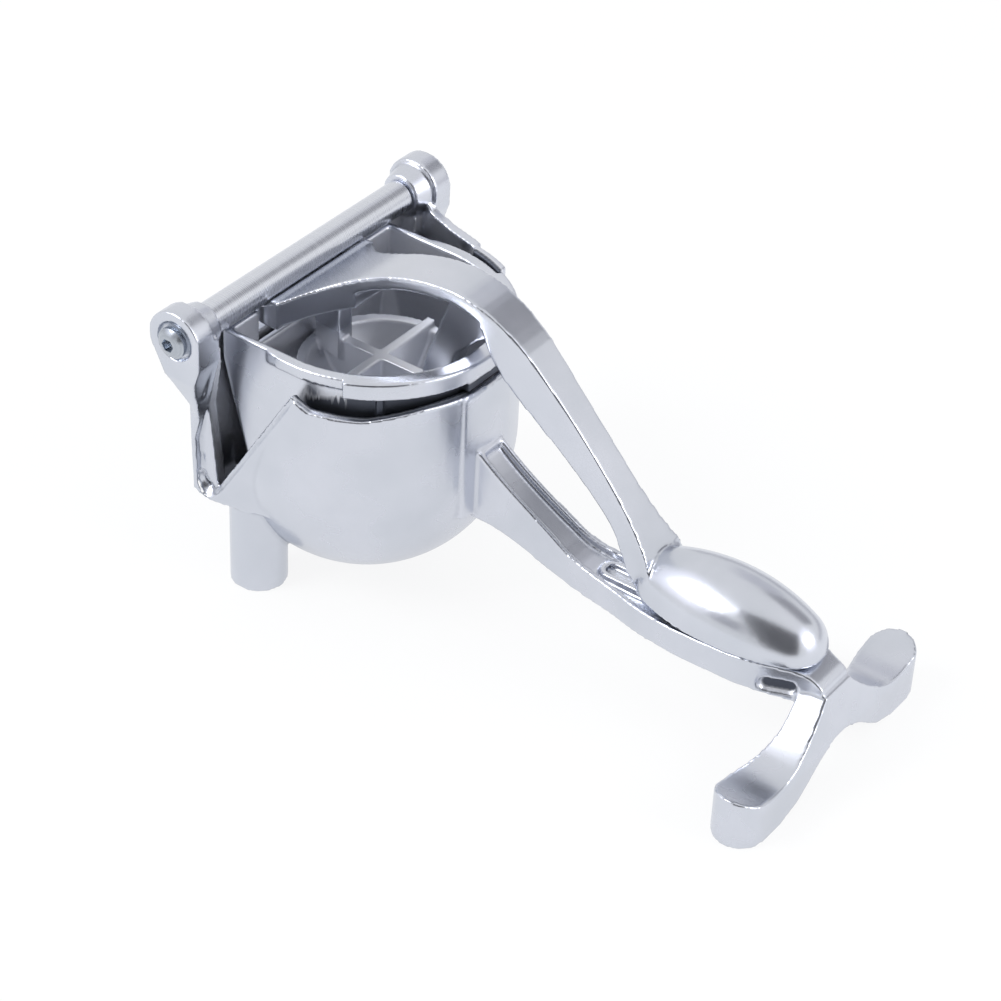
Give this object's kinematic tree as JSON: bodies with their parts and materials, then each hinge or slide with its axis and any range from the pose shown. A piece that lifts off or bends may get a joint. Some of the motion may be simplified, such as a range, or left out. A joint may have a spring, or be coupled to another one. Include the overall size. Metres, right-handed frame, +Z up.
{
  "type": "hinged lemon squeezer",
  "caption": "Cast aluminium citrus press: lidless round bowl with pouring notch and foot fork, drop-in strainer cup, and an arched lever with press head hooked under a hinge rod.",
  "frame": {"origin": "middle of the length and of the width, on the table under the feet", "axes": "+X from the hinge rod towards the foot fork, +Y along the hinge rod away from the pouring notch, +Z up"},
  "size_m": [0.187, 0.112, 0.0991],
  "materials": {
    "cast_body": "tumbled and polished cast aluminium, cool bright silver",
    "rod": "turned and polished aluminium rod",
    "screws": "plain steel hex socket screws",
    "cast_cup": "polished cast aluminium, duller inside",
    "cast_lever": "mirror-polished cast aluminium grip and arm"
  },
  "bodies": {
    "frame": {"frame_casting": "cast_body", "hinge_rod": "rod", "rod_screws": "screws", "strainer_cup": "cast_cup"},
    "lever": {"press_lever": "cast_lever"}
  },
  "joints": [
    {"name": "lever_hinge", "type": "hinge", "parent": "frame", "child": "lever", "pos_m": [-0.0849, 0, 0.0844], "axis": [0, -1, 0], "range_deg": [0, 110]}
  ]
}
